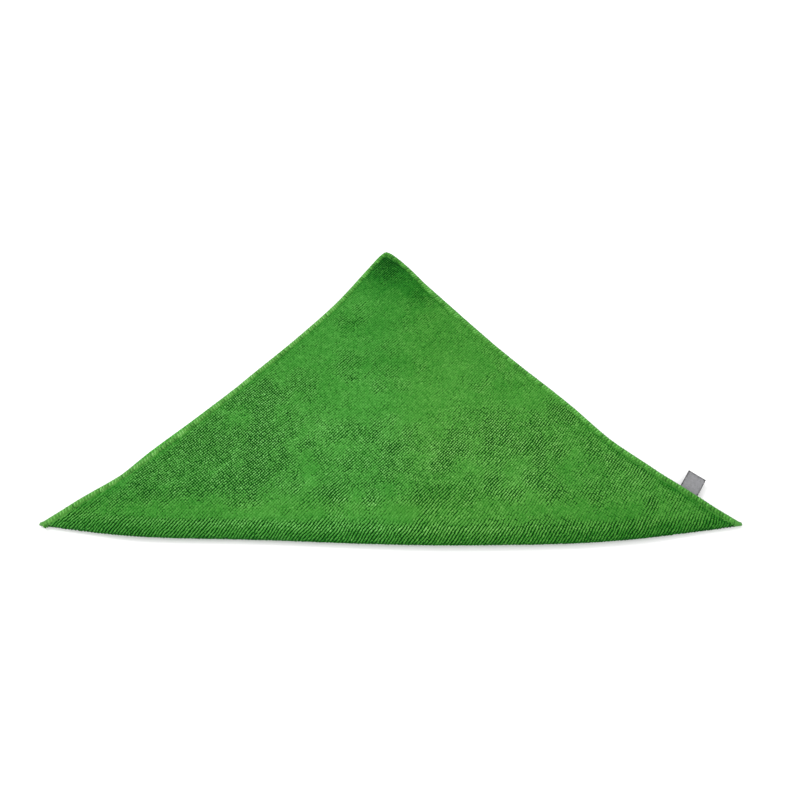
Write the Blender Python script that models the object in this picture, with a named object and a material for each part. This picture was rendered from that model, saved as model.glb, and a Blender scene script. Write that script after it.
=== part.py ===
"""Microfibre cloth: a terry square folded once on its diagonal and laid flat as a triangle.

The fold runs along X and faces -Y, the apex points to +Y, and the underside is flat at z = 0.
The cloth is one solid with a hairpin section: lower layer, soft rolled fold, upper layer.
A satin flag label is caught between the two layers at the right leg.
"""

import math

import bmesh
import bpy
import numpy as np
from mathutils import Matrix, Vector

# Driving dimensions, metres
CLOTH_SIDE = 0.400  # the square, cut size, hem included
SHEET = 0.0022  # one layer with the pile of both faces
HEM_SHEET = 0.0016  # the overlocked edge has no pile
HEM_WIDTH = 0.0045
LAYER_GAP = 0.0004  # air between the two layers where they lie flat
HEM_ROUND = 0.0004
PIECE_GAP = 0.0003

FOLD_FOOT = 0.008  # from the nose of the roll back to where its underside meets the table
FOLD_CREST = 0.027  # from the nose back to the crest
FOLD_PULL = 0.004  # handle of the roll's curve: larger makes a blunter nose
FOLD_RUNOUT = 0.060  # behind the crest the upper layer sinks to the lower one over this depth
FOLD_TAPER = 0.075  # the roll grows from the tips until the triangle is this deep
ROLL_LEAST = 0.12  # share of the roll's depth that is left at the tips
INNER_FOOT = 0.7  # share of the foot that the hollow's foot has

APEX_LEFT = 0.0067  # the apex lies left of the middle of the fold
APEX_ROUND = 0.0065  # how far the apex is rounded off
TIP_DEPTH = 0.0090  # shallower than this, the section shrinks to a pinched tip
TIP_SMALLEST = 0.20  # share of TIP_DEPTH that the end face keeps
TIP_HEIGHT = 0.45  # share of its height that it would keep if it shrank to nothing
TIP_END = 0.0012  # the end face stands this far inside the corner of the square

LABEL_WIDTH = 0.0150
LABEL_LENGTH = 0.0162  # the free part, from the upper hem to the end, along its middle
LABEL_ROOT = 0.0045  # the part between the layers
LABEL_THICK = 0.0006  # ribbon folded double
LABEL_ALONG_LEG = 0.0477  # from the right tip to the middle of the label
LABEL_SKEW = math.radians(10)  # turned from square to the leg, towards the apex
LABEL_LIFT = math.radians(8)

# The fold bulges out of the straight line between the tips, and its roll is not level.
# share of the way from the left tip, bulge, crest of the roll
FOLD = (
    (0.00, 0.0, 0.0100),
    (0.12, 0.0084, 0.0104),
    (0.31, 0.0121, 0.0094),
    (0.60, 0.0165, 0.0112),
    (0.83, 0.0122, 0.0099),
    (1.00, 0.0, 0.0104),
)

# The legs draw in, and the lower hem looks out from under the upper one.
# share of the way from the tip to the apex, drawn in, lower hem past the upper
LEFT_LEG = (
    (0.00, 0.0, 0.0),
    (0.08, 0.0056, 0.0),
    (0.17, 0.0108, 0.0015),
    (0.25, 0.0110, 0.0044),
    (0.36, 0.0134, 0.0040),
    (0.50, 0.0154, 0.0015),
    (0.66, 0.0162, 0.0006),
    (0.80, 0.0126, 0.0016),
    (0.90, 0.0062, 0.0014),
    (1.00, 0.0, 0.0),
)
RIGHT_LEG = (
    (0.00, 0.0, 0.0),
    (0.10, 0.0056, 0.0006),
    (0.20, 0.0106, 0.0008),
    (0.28, 0.0128, 0.0014),
    (0.40, 0.0114, 0.0010),
    (0.56, 0.0108, 0.0012),
    (0.70, 0.0079, 0.0026),
    (0.84, 0.0041, 0.0024),
    (0.93, 0.0018, 0.0006),
    (1.00, 0.0, 0.0),
)

# Soft rises of the upper layer: centre along and across the fold, reach along and across, rise.
RISES = (
    (-0.215, 0.022, 0.030, 0.016, 0.0008),
    (-0.150, 0.075, 0.050, 0.022, 0.0014),
    (-0.070, 0.045, 0.045, 0.030, 0.0010),
    (-0.035, 0.150, 0.040, 0.050, 0.0016),
    (0.060, 0.100, 0.055, 0.030, 0.0012),
    (0.150, 0.060, 0.028, 0.045, 0.0012),
    (0.002, 0.235, 0.028, 0.022, 0.0014),
)
RISE_START = 0.020  # the rises begin this far behind the crest
# The upper hem waves a little: length along the fold, height.
EDGE_WAVES = ((0.066, 0.0007), (0.094, 0.0006))
EDGE_REACH = 0.018  # how far in from the hem the waves die out
LABEL_RISE = 0.0013  # the upper hem rides up over the label's root
LABEL_RISE_REACH = 0.020

LEG_STATIONS = 28  # sections from a tip to the apex
LEG_SAMPLES = 400  # points along a leg, read between by straight lines
# Points along the pieces of a section
FLAT_POINTS = 6
ROLL_POINTS = 12
UPPER_POINTS = 19
LINING_POINTS = 13
HOLLOW_POINTS = 8

GREEN = (0.052, 0.245, 0.040)
GREY = (0.31, 0.31, 0.32)

HALF_FOLD = CLOTH_SIDE / math.sqrt(2)
LEFT_TIP = Vector((-HALF_FOLD, 0.0))
RIGHT_TIP = Vector((HALF_FOLD, 0.0))
APEX = Vector((-APEX_LEFT, HALF_FOLD))
FLAT_HEIGHT = SHEET + LAYER_GAP + SHEET


def clear_scene():
    for old in list(bpy.data.objects):
        bpy.data.objects.remove(old, do_unlink=True)


def smooth_step(x):
    t = np.clip(x, 0.0, 1.0)
    return t * t * (3 - 2 * t)


def smooth_through(rows, column, at):
    """A smooth curve through one column of a table, by the table's first column."""
    known = np.array([row[0] for row in rows])
    value = np.array([row[column] for row in rows])
    slope = np.gradient(value, known)
    i = np.clip(np.searchsorted(known, at) - 1, 0, len(known) - 2)
    width = known[i + 1] - known[i]
    t = (at - known[i]) / width
    return (
        (1 + 2 * t) * (1 - t) ** 2 * value[i]
        + t * (1 - t) ** 2 * width * slope[i]
        + t * t * (3 - 2 * t) * value[i + 1]
        + t * t * (t - 1) * width * slope[i + 1]
    )


def fold_line(x):
    """y of the fold's nose at x, and how high the roll's crest stands there."""
    share = (x + HALF_FOLD) / (2 * HALF_FOLD)
    return -smooth_through(FOLD, 1, share), smooth_through(FOLD, 2, share)


def leg_line(tip, rows, peek):
    """x and y along one leg's hem, from the tip to the apex; peek is 1 for the upper hem."""
    share = np.linspace(0.0, 1.0, LEG_SAMPLES)
    along = APEX - tip
    inward = Vector((along.y, -along.x)).normalized() * (1 if tip.x < 0 else -1)
    drawn = smooth_through(rows, 1, share) + peek * smooth_through(rows, 2, share)
    return tip.x + along.x * share + inward.x * drawn, tip.y + along.y * share + inward.y * drawn


def hem_line(x, peek):
    """y of the hem at x, with the apex rounded off."""
    left_x, left_y = leg_line(LEFT_TIP, LEFT_LEG, peek)
    right_x, right_y = leg_line(RIGHT_TIP, RIGHT_LEG, peek)
    top = APEX.y
    left = np.interp(x, left_x, left_y, right=top) + np.maximum(x - left_x[-1], 0)
    right = np.interp(x, right_x[::-1], right_y[::-1], left=top) + np.maximum(right_x[-1] - x, 0)
    return (left + right) / 2 - np.hypot((left - right) / 2, APEX_ROUND)


def label_place():
    """Where the label's middle leaves the upper hem, and the direction in which it points."""
    along = (APEX - RIGHT_TIP).normalized()
    share = LABEL_ALONG_LEG / (APEX - RIGHT_TIP).length
    x = RIGHT_TIP.x + along.x * LABEL_ALONG_LEG
    drawn = float(smooth_through(RIGHT_LEG, 1, share))
    x -= along.y * drawn
    outward = math.atan2(-along.x, along.y) + LABEL_SKEW
    return Vector((x, float(hem_line(x, 1)))), Vector((math.cos(outward), math.sin(outward)))


def rise(x, y):
    """How far the upper layer lifts off the lower one at a point."""
    lift = np.zeros_like(y)
    for centre_x, centre_y, reach_x, reach_y, height in RISES:
        lift += height * np.exp(-(((x - centre_x) / reach_x) ** 2) - ((y - centre_y) / reach_y) ** 2)
    seat, _ = label_place()
    away = np.hypot(x - seat.x, y - seat.y)
    return lift + LABEL_RISE * np.exp(-((away / LABEL_RISE_REACH) ** 4))


def edge_wave(x, from_hem):
    """How far the upper hem's waves lift it, less and less further in."""
    lift = sum(height * (1 + np.sin(2 * math.pi * x / length)) / 2 for length, height in EDGE_WAVES)
    return lift * np.exp(-((from_hem / EDGE_REACH) ** 2))


def roll(nose, foot, crest, low, high, count):
    """Points of the rolled fold, from its foot round its nose to its crest, as (y, z)."""
    t = np.linspace(0.0, 1.0, count)
    pull = -FOLD_PULL * foot / FOLD_FOOT
    y = (1 - t) ** 3 * foot + 3 * t * (1 - t) * pull + t**3 * crest
    z = low + (high - low) * (3 * t**2 - 2 * t**3)
    return np.stack([y - y.min() + nose, z], 1)


def spread(start, end, count, hem_points):
    """Distances from start to end with the last few inside the hem."""
    inside = np.linspace(end - HEM_WIDTH, end, hem_points + 1)[1:]
    if end - HEM_WIDTH * 1.5 < start:
        return np.linspace(start, end, count + 1)[1:]
    return np.append(np.linspace(start, end - HEM_WIDTH, count - hem_points + 1)[1:], inside)


def sheet_thickness(from_hem):
    return HEM_SHEET + (SHEET - HEM_SHEET) * smooth_step(from_hem / HEM_WIDTH)


def hem_end(y, low, high):
    """The rounded edge of one layer, from its upper side to its underside."""
    return np.array([(y, high - HEM_ROUND), (y, low + HEM_ROUND)])


def hairpin(x, fold, lower, upper):
    """The closed section of a lower and an upper layer of these depths, as (distance, z)."""
    fold_y, fold_height = fold
    full = float(smooth_step((lower - TIP_DEPTH) / FOLD_TAPER))
    reach = ROLL_LEAST + (1 - ROLL_LEAST) * full
    foot, crest = FOLD_FOOT * reach, FOLD_CREST * reach
    high = FLAT_HEIGHT + (fold_height - FLAT_HEIGHT) * full
    outer = roll(0.0, foot, crest, 0.0, high, ROLL_POINTS)
    inner_crest = crest - (1 - full) * SHEET / 2
    inner = roll(SHEET, foot * INNER_FOOT, inner_crest, SHEET, high - SHEET, HOLLOW_POINTS)
    crest = outer[-1, 0]

    def underside(d):
        """Height of the upper layer's underside at distances d behind the nose."""
        sink = smooth_step((d - crest) / (FOLD_RUNOUT * max(full, ROLL_LEAST)))
        lift = rise(x, d + fold_y) + edge_wave(x, upper - d)
        lift *= smooth_step((d - crest) / RISE_START)
        return high - SHEET + (FLAT_HEIGHT - high) * sink + lift

    table_d = np.linspace(lower - HEM_ROUND, outer[0, 0], FLAT_POINTS)[:-1]
    top_d = spread(crest, upper - HEM_ROUND, UPPER_POINTS, 3)
    top_z = underside(top_d) + sheet_thickness(upper - top_d)
    lining_d = spread(inner[-1, 0], upper - HEM_ROUND, LINING_POINTS, 1)
    lining_z = underside(lining_d)
    floor_d = spread(inner[0, 0], lower - HEM_ROUND, FLAT_POINTS, 2)
    floor_z = sheet_thickness(lower - floor_d)
    runs = (
        np.stack([table_d, np.zeros_like(table_d)], 1),
        outer,
        np.stack([top_d, top_z], 1),
        hem_end(upper, lining_z[-1], top_z[-1]),
        np.stack([lining_d, lining_z], 1)[::-1],
        inner[::-1],
        np.stack([floor_d, floor_z], 1),
        hem_end(lower, 0.0, floor_z[-1]),
    )
    return np.vstack(runs)


def section(x):
    """The closed section at x as (y, z); near a tip it is a shrunk copy of a deeper one."""
    fold = fold_line(x)
    lower = float(hem_line(x, 0) - fold[0])
    upper = float(hem_line(x, 1) - fold[0])
    missing = max(TIP_DEPTH - lower, 0.0)
    small = max(1 - missing / TIP_DEPTH, TIP_SMALLEST)
    points = hairpin(x, fold, lower + missing, upper + missing)
    height = TIP_HEIGHT + (1 - TIP_HEIGHT) * small
    return points * (small, height) + (fold[0], 0.0)


def stations():
    """Where the sections stand along X, closest together at the tips and the apex."""
    turn = (1 - np.cos(np.linspace(0, math.pi, LEG_STATIONS + 1))) / 2
    start, end = LEFT_TIP.x + TIP_END, RIGHT_TIP.x - TIP_END
    left = start + (APEX.x - start) * turn
    right = APEX.x + (end - APEX.x) * turn
    return np.append(left, right[1:])


def material(name, colour, roughness):
    made = bpy.data.materials.new(name)
    made.use_nodes = True
    shader = made.node_tree.nodes["Principled BSDF"]
    shader.inputs["Base Color"].default_value = (*colour, 1.0)
    shader.inputs["Roughness"].default_value = roughness
    shader.inputs["Metallic"].default_value = 0.0
    return made


def add_object(name, rings, finish):
    """Joins closed rings of points into one capped solid."""
    mesh = bpy.data.meshes.new(name)
    bm = bmesh.new()
    loops = [[bm.verts.new(point) for point in ring] for ring in rings]
    count = len(loops[0])
    for near, far in zip(loops, loops[1:]):
        for i in range(count):
            j = (i + 1) % count
            bm.faces.new((near[i], near[j], far[j], far[i]))
    bm.faces.new(loops[0])
    bm.faces.new(loops[-1][::-1])
    bmesh.ops.triangulate(bm, faces=bm.faces[:], ngon_method="EAR_CLIP")
    bmesh.ops.recalc_face_normals(bm, faces=bm.faces[:])
    bm.to_mesh(mesh)
    bm.free()
    mesh.shade_smooth()
    mesh.materials.append(finish)
    made = bpy.data.objects.new(name, mesh)
    bpy.context.scene.collection.objects.link(made)
    return made


def make_cloth():
    rings = [[(x, y, z) for y, z in section(x)] for x in stations()]
    return add_object("cloth", rings, material("green_terry", GREEN, 0.95))


def make_label():
    """A flat ribbon folded double: its root lies between the layers and its free end lifts."""
    seat, out = label_place()
    side = Vector((out.y, -out.x)) * LABEL_WIDTH / 2
    bottom = SHEET + PIECE_GAP
    rings = []
    for distance in (-LABEL_ROOT, 0.0, LABEL_LENGTH / 3, LABEL_LENGTH * 2 / 3, LABEL_LENGTH):
        middle = seat + out * distance
        low = bottom + max(distance, 0.0) * math.tan(LABEL_LIFT)
        high = low + LABEL_THICK
        left, right = middle - side, middle + side
        rings.append([(*left, low), (*right, low), (*right, high), (*left, high)])
    return add_object("label", rings, material("grey_satin", GREY, 0.55))


def centre_on_origin(objects):
    """The origin is under the middle of the whole part, on the table."""
    corners = np.array([v.co for o in objects for v in o.data.vertices])
    low, high = corners.min(0), corners.max(0)
    shift = Vector((-(low[0] + high[0]) / 2, -(low[1] + high[1]) / 2, -low[2]))
    for o in objects:
        o.data.transform(Matrix.Translation(shift))


def main():
    clear_scene()
    centre_on_origin([make_cloth(), make_label()])


main()
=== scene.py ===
"""The looks of a microfibre cloth, folded once on its diagonal and laid flat as a triangle.

The cloth is a thin knitted ground in the shape of its solid. Terry loops stand on it in ribs, open
on the roll of the fold and brushed flat in patches. Overlock thread closes the hems, and a bare
satin label, folded double, is caught between the layers.
"""

import math

import bpy
import numpy as np
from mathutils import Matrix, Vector

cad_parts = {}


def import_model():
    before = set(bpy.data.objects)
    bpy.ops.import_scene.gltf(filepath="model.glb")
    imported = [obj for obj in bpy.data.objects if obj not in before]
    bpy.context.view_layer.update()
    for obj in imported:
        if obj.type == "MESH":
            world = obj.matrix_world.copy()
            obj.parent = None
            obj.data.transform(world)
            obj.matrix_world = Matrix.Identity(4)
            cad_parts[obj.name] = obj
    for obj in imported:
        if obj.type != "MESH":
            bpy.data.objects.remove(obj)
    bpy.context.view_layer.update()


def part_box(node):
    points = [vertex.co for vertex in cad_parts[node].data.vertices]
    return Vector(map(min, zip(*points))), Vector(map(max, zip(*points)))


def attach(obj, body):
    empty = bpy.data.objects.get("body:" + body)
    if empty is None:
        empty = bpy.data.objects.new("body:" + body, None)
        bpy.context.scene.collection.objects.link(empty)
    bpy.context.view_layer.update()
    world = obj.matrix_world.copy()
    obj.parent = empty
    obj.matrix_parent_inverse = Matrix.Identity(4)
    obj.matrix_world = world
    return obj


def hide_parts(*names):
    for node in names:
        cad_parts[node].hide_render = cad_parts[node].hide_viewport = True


# The folded cloth, in the sizes of its solid, metres
CLOTH_SIDE = 0.400
SHEET = 0.0022
HEM_SHEET = 0.0016
HEM_WIDTH = 0.0045
LAYER_GAP = 0.0004
PIECE_GAP = 0.0003

FOLD_FOOT = 0.008
FOLD_CREST = 0.027
FOLD_PULL = 0.004
FOLD_RUNOUT = 0.060
FOLD_TAPER = 0.075
ROLL_LEAST = 0.12
INNER_FOOT = 0.7

APEX_LEFT = 0.0067
APEX_ROUND = 0.0065
TIP_DEPTH = 0.0090
TIP_SMALLEST = 0.20
TIP_HEIGHT = 0.45
TIP_END = 0.0012

LABEL_WIDTH = 0.0150
LABEL_LENGTH = 0.0162
LABEL_ROOT = 0.0045
LABEL_THICK = 0.0006
LABEL_ALONG_LEG = 0.0477
LABEL_SKEW = math.radians(10)
LABEL_LIFT = math.radians(8)

# share of the way from the left tip, bulge, crest of the roll
FOLD = (
    (0.00, 0.0, 0.0100),
    (0.12, 0.0084, 0.0104),
    (0.31, 0.0121, 0.0094),
    (0.60, 0.0165, 0.0112),
    (0.83, 0.0122, 0.0099),
    (1.00, 0.0, 0.0104),
)

# share of the way from the tip to the apex, drawn in, lower hem past the upper
LEFT_LEG = (
    (0.00, 0.0, 0.0),
    (0.08, 0.0056, 0.0),
    (0.17, 0.0108, 0.0015),
    (0.25, 0.0110, 0.0044),
    (0.36, 0.0134, 0.0040),
    (0.50, 0.0154, 0.0015),
    (0.66, 0.0162, 0.0006),
    (0.80, 0.0126, 0.0016),
    (0.90, 0.0062, 0.0014),
    (1.00, 0.0, 0.0),
)
RIGHT_LEG = (
    (0.00, 0.0, 0.0),
    (0.10, 0.0056, 0.0006),
    (0.20, 0.0106, 0.0008),
    (0.28, 0.0128, 0.0014),
    (0.40, 0.0114, 0.0010),
    (0.56, 0.0108, 0.0012),
    (0.70, 0.0079, 0.0026),
    (0.84, 0.0041, 0.0024),
    (0.93, 0.0018, 0.0006),
    (1.00, 0.0, 0.0),
)

# Soft rises of the upper layer: centre along and across the fold, reach along and across, rise.
RISES = (
    (-0.215, 0.022, 0.030, 0.016, 0.0008),
    (-0.150, 0.075, 0.050, 0.022, 0.0014),
    (-0.070, 0.045, 0.045, 0.030, 0.0010),
    (-0.035, 0.150, 0.040, 0.050, 0.0016),
    (0.060, 0.100, 0.055, 0.030, 0.0012),
    (0.150, 0.060, 0.028, 0.045, 0.0012),
    (0.002, 0.235, 0.028, 0.022, 0.0014),
)
RISE_START = 0.020
EDGE_WAVES = ((0.066, 0.0007), (0.094, 0.0006))  # length and height of each
EDGE_REACH = 0.018
LABEL_RISE = 0.0013
LABEL_RISE_REACH = 0.020

# Creases finer than the solid's rises: from x, y to x, y, reach to each side, rise.
CREASES = (
    (0.150, 0.012, 0.158, 0.066, 0.007, 0.0006),
    (0.187, 0.014, 0.191, 0.058, 0.006, 0.0006),
    (-0.064, 0.020, -0.058, 0.112, 0.008, 0.0005),
    (-0.034, 0.214, 0.026, 0.203, 0.009, 0.0005),
    (-0.200, 0.030, -0.120, 0.044, 0.007, 0.0004),
    (0.030, 0.034, 0.100, 0.026, 0.008, 0.0004),
)

# Sections of the ground
STATION_STEP = 0.0025
TABLE_POINTS = 36
ROLL_POINTS = 16
TOP_POINTS = 50
HEM_ZONE = 0.010  # across the hem the points stand closer, at these shares of it
HEM_SHARES = np.array((0.2, 0.36, 0.48, 0.6, 0.76, 0.9, 1.0))
HEM_END = 0.0013  # from here the edge is rounded
EDGE_ANGLES = np.radians((30, 60, 90, 120, 150))
EDGE_BULGE = 0.85  # how far the rounded edge stands out, as a share of HEM_END
LEG_SAMPLES = 400  # points along a leg, read between by straight lines

# The hem, square to its edge
LEG_SLOPE = math.cos(math.radians(45))  # a distance across the fold becomes one square to a leg
HEM_BAND = 0.0048
HEM_STEP = 0.0012  # over this width the pile ends and the hem begins
THREAD = 0.00042  # radius
THREAD_SINK = 0.0005
STITCH = 0.0025
HEM_START = 0.0030  # the seam starts this far from a tip
ROUTE_SAMPLES = 3000
THREAD_SIDES = 5
OVER_EDGE = (0.32, 0.24)  # below this share of the band it turns over the edge, within this one
UP_LEAST = 0.05  # keeps the thread's upper side defined where it passes the edge
STITCH_JITTER = 0.05  # of a point along, as a share of the stitch
BAND_JITTER = 0.03  # of a point in, as a share of the band
# The thread of one stitch on a face of the hem, out to the edge and back, then on to the next:
# shares of the stitch along, shares of the band in
STITCH_ALONG = np.array((0.00, 0.12, 0.20, 0.30, 0.44, 0.52, 0.62, 0.82))
STITCH_IN = np.array((1.00, 0.66, 0.30, 0.07, 0.28, 0.64, 0.98, 1.03))

# Tone of the thread, from 0, dark, to 1, light: lighter on its way out than on its way back
THREAD_TONE = 0.49
THREAD_TONE_JITTER = 0.16  # from stitch to stitch
THREAD_POINT_JITTER = 0.05  # from point to point
THREAD_LUMP = 0.006  # size of the slow changes
THREAD_LUMP_TONE = 0.22
STITCH_TONE = np.array((-0.16, 0.24, 0.30, 0.14, -0.12, -0.22, -0.26, -0.22))
EDGE_SHADE = 0.12  # darker round the edge
HEM_PAINTED_SHEEN = 0.45  # painted sheen: how much paler the upper hem is, as it faces the light
HEM_PAINTED_SHEEN_LEFT = 0.40  # more on the left leg
HEM_PAINTED_SHEEN_BELOW = (-0.02, 0.05)
# Where the hem is darker or lighter: centre x and y, reach x and y, change of tone.
HEM_TONES = (
    (0.006, 0.268, 0.034, 0.026, -0.26),
    (-0.036, 0.212, 0.022, 0.026, 0.09),
    (0.096, 0.160, 0.045, 0.045, 0.08),
    (0.250, 0.012, 0.050, 0.034, -0.25),
)

# Terry loops
PILE = 0.0009  # from the ground to the cloth's skin
RIB_PITCH = 0.0019
LOOP_PITCH = 0.0019
OPEN_LONG = 1.06  # a loop's length, as a share of the pitch along the rib, where the pile stands
OPEN_FILL = 0.83  # its width, as a share of the rib's pitch
ROLL_LONG = 1.45  # on the roll of the fold
ROLL_FILL = 0.94
FLAT_LONG = 1.50  # where the pile is brushed flat
FLAT_FILL = 1.45
UPPER_SIDES = 6  # sides of a loop on the upper face of the folded cloth
UNDER_SIDES = 4  # and on its underside
LOOP_FOOT = -0.10  # the dome starts below the ground, as a share of its height
SHOULDER_WIDE = 0.76
SHOULDER_HIGH = 0.68
# The ribs run at 45 degrees to the fold, less a skew of the cloth that is greatest on the roll.
SKEW = 0.04  # shift along the fold for each length away from it
SKEW_RIGHT = 0.08  # more of it at the right tip and less at the left one
ROLL_SKEW = 0.28
ROLL_SKEW_REACH = 0.030
PILE_ROUND = 0.004  # the upper pile goes this far round the fold's nose
PILE_OVERLAP = 0.0003  # over the hem's inner edge
TIP_BARE = 0.0045  # no loops stand this near to a tip
PLACES_PAST = 0.020  # places for loops are laid out this far past the tips
LOOPS_PAST = 0.030  # loops are looked for this far past the square's edges
UPPER_CUTS = (-0.052, 0.052)  # the pile's pieces part at these x
UNDER_CUTS = (0.0,)

# How far the loops stray. A lump is the size and the amount of a smooth change.
ALONG_JITTER = 0.08 * LOOP_PITCH
ACROSS_JITTER = 0.06 * RIB_PITCH
ALONG_LUMPS = ((0.020, 0.6 * LOOP_PITCH),)
ACROSS_LUMPS = ((0.025, 0.4 * RIB_PITCH), (0.008, 0.25 * RIB_PITCH))
HEIGHT_JITTER = 0.10
HEIGHT_JITTER_MOST = 2  # in steps of the jitter
LONG_JITTER = 0.14
WIDE_JITTER = 0.06
YAW_JITTER = 0.14
YAW_FLAT = 0.5  # more of it where the pile is brushed flat, in lumps of this size
YAW_LUMP = 0.012
LEAN = 0.00022  # along the rib
LEAN_LUMPS = ((0.020, 0.0003),)
SIDE_LEAN_LUMPS = ((0.015, 0.0003),)
SIDE_LEAN_JITTER = 0.00010
FLAT_LOWER = 0.15  # share of its height that brushed pile loses
HEM_HEIGHT = 0.75  # share of its height that the pile has right beside the hem
HEM_HEIGHT_REACH = 0.0025

# How flat the pile is brushed, from 0 to 1. A pair FROM or BELOW: where a change starts, its width.
BRUSH = 0.33
BRUSH_LUMPS = ((0.014, 0.32), (0.007, 0.28))
BRUSH_APEX = 0.22  # more towards the apex
BRUSH_APEX_FROM = (0.09, 0.09)
BRUSH_HEM = 0.6  # more beside the hem
BRUSH_HEM_RIGHT = -0.45  # and less of that on the right
BRUSH_HEM_REACH = 0.003
ROLL_BELOW = (0.0185, 0.006)  # the roll of the fold isn't brushed
ROLL_RIGHT = -0.6  # and it fades at the right tip
ROLL_RIGHT_FROM = (0.16, 0.05)

# Tone of the pile, from 0, dark, to 1, light
TONE = 0.818
TONE_LUMPS = ((0.016, 0.02), (0.005, 0.02))
TONE_JITTER = 0.065  # from loop to loop
TONE_JITTER_FLAT = -0.025  # less where brushed flat
TONE_FLAT = -0.32  # darker there too
FOOT_SHADE = 0.74  # how much darker a loop's foot is than its top
FOOT_SHADE_FLAT = 0.8  # share of that which goes where brushed flat
FOOT_SHADE_CURVE = 1.5
VALLEY_SHADE = 0.04  # painted shade: the darker line in the groove beside the hem
VALLEY_LINE = (0.001, 0.002)  # its middle and reach, in from the hem
VALLEY_RIGHT = 0.16
VALLEY_RIGHT_FROM = (0.15, 0.04)
VALLEY_APEX = 0.04
VALLEY_APEX_FROM = (0.19, 0.03)
ROLL_SHADE = 0.20  # painted shade: the pile is darker towards the fold's nose, where it opens and turns from the light
ROLL_SHADE_BELOW = (0.015, 0.010)
NOSE_SHADE = 0.30  # painted shade, darkest on it
NOSE_SHADE_BELOW = (0.0035, 0.004)
WARM_FROM = (-0.02, 0.06)  # the pile is yellower on the right
WARM_UPPER = 0.85
WARM_CREST = 0.4  # and along the crest of the roll
WARM_CREST_LINE = (0.012, 0.009)

# Where the pile is darker or lighter: centre x and y, reach x and y, change of tone.
TONES = (
    (-0.004, 0.264, 0.030, 0.034, -0.46),
    (0.005, 0.190, 0.045, 0.050, -0.01),
    (0.000, 0.070, 0.110, 0.035, 0.045),
    (0.085, 0.062, 0.035, 0.028, 0.04),
    (-0.100, 0.075, 0.025, 0.045, 0.04),
    (-0.228, 0.014, 0.040, 0.026, -0.08),
    (0.238, 0.012, 0.045, 0.026, -0.02),
    (0.000, 0.006, 0.130, 0.008, 0.04),
    (0.190, 0.005, 0.040, 0.010, -0.05),
    (0.134, -0.008, 0.030, 0.008, -0.10),
    (0.181, -0.008, 0.025, 0.008, -0.06),
    (0.027, 0.223, 0.017, 0.014, -0.17),
    (-0.044, 0.193, 0.013, 0.011, -0.06),
    (-0.007, 0.191, 0.024, 0.013, -0.05),
    (-0.002, 0.150, 0.018, 0.014, -0.06),
    (0.033, 0.026, 0.015, 0.010, -0.065),
    (0.141, 0.038, 0.006, 0.017, -0.065),
    (0.174, 0.040, 0.007, 0.017, -0.085),
    (0.188, 0.095, 0.026, 0.015, -0.05),
    (0.230, 0.032, 0.023, 0.009, -0.04),
    (-0.035, 0.212, 0.021, 0.009, 0.06),
    (-0.006, 0.108, 0.053, 0.023, 0.04),
    (0.036, 0.134, 0.027, 0.028, 0.03),
    (-0.061, 0.081, 0.007, 0.028, 0.04),
    (-0.068, 0.032, 0.011, 0.012, 0.06),
    (0.032, 0.054, 0.010, 0.011, 0.06),
    (0.101, 0.025, 0.021, 0.012, 0.065),
    (-0.025, 0.015, 0.032, 0.007, 0.04),
    (-0.099, 0.011, 0.037, 0.007, 0.04),
    (-0.202, 0.011, 0.035, 0.007, 0.05),
)

# Where the pile is brushed flat: centre x and y, reach x and y, how flat.
BRUSHED = (
    (-0.007, 0.212, 0.063, 0.044, 0.45),
    (0.053, 0.159, 0.040, 0.025, 0.8),
    (0.007, 0.108, 0.039, 0.019, 0.7),
    (0.055, 0.100, 0.045, 0.026, 0.4),
    (0.122, 0.115, 0.020, 0.016, 0.4),
    (-0.084, 0.161, 0.027, 0.023, 0.5),
    (-0.054, 0.110, 0.025, 0.018, 0.5),
    (-0.131, 0.091, 0.012, 0.015, 0.6),
    (-0.067, 0.041, 0.010, 0.021, 0.6),
    (-0.001, 0.020, 0.008, 0.012, 0.5),
    (0.149, 0.035, 0.011, 0.019, 0.5),
    (0.215, 0.030, 0.042, 0.022, 0.12),
    (-0.129, 0.070, 0.042, 0.030, -0.4),
    (-0.116, 0.115, 0.028, 0.020, -0.4),
    (-0.190, 0.048, 0.030, 0.014, -0.5),
    (0.055, 0.066, 0.014, 0.012, -0.5),
    (0.105, 0.068, 0.020, 0.014, -0.3),
    (-0.004, 0.262, 0.034, 0.028, -0.5),
    (0.104, 0.010, 0.045, 0.010, 0.9),
    (0.177, 0.007, 0.035, 0.009, 0.8),
    (0.234, 0.006, 0.025, 0.009, 0.6),
    (-0.005, 0.007, 0.055, 0.008, 0.6),
    (-0.090, 0.008, 0.035, 0.008, 0.6),
    (-0.170, 0.009, 0.055, 0.009, 0.8),
)

# Colours, linear
PILE_TONES = (
    (0.00, (0.000, 0.058, 0.001)),
    (0.25, (0.006, 0.138, 0.005)),
    (0.50, (0.042, 0.238, 0.025)),
    (0.75, (0.095, 0.356, 0.059)),
    (1.00, (0.225, 0.615, 0.160)),
)
PILE_WARM = (1.16, 0.99, 0.94)  # the pile's tint where it is yellower
THREAD_TONES = (
    (0.0, (0.012, 0.120, 0.006)),
    (0.5, (0.070, 0.350, 0.032)),
    (1.0, (0.150, 0.520, 0.095)),
)
PAINTED_SHEEN_TINT = (1.5, 0.98, 1.6)  # the tint of the painted sheen, where the thread is paler and greyer
# The knitted ground's own green, darkened as painted shade in the gaps between the loops
GROUND_GREEN_AND_GAP_SHADE = (0.000, 0.046, 0.001)
HEM_GREEN = (0.046, 0.245, 0.022)
LABEL_GREY = (0.24, 0.24, 0.25)
FLOOR_WHITE = (0.95, 0.95, 0.95)
SPECULAR = 0.12  # how strong the gloss of every finish is

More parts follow.
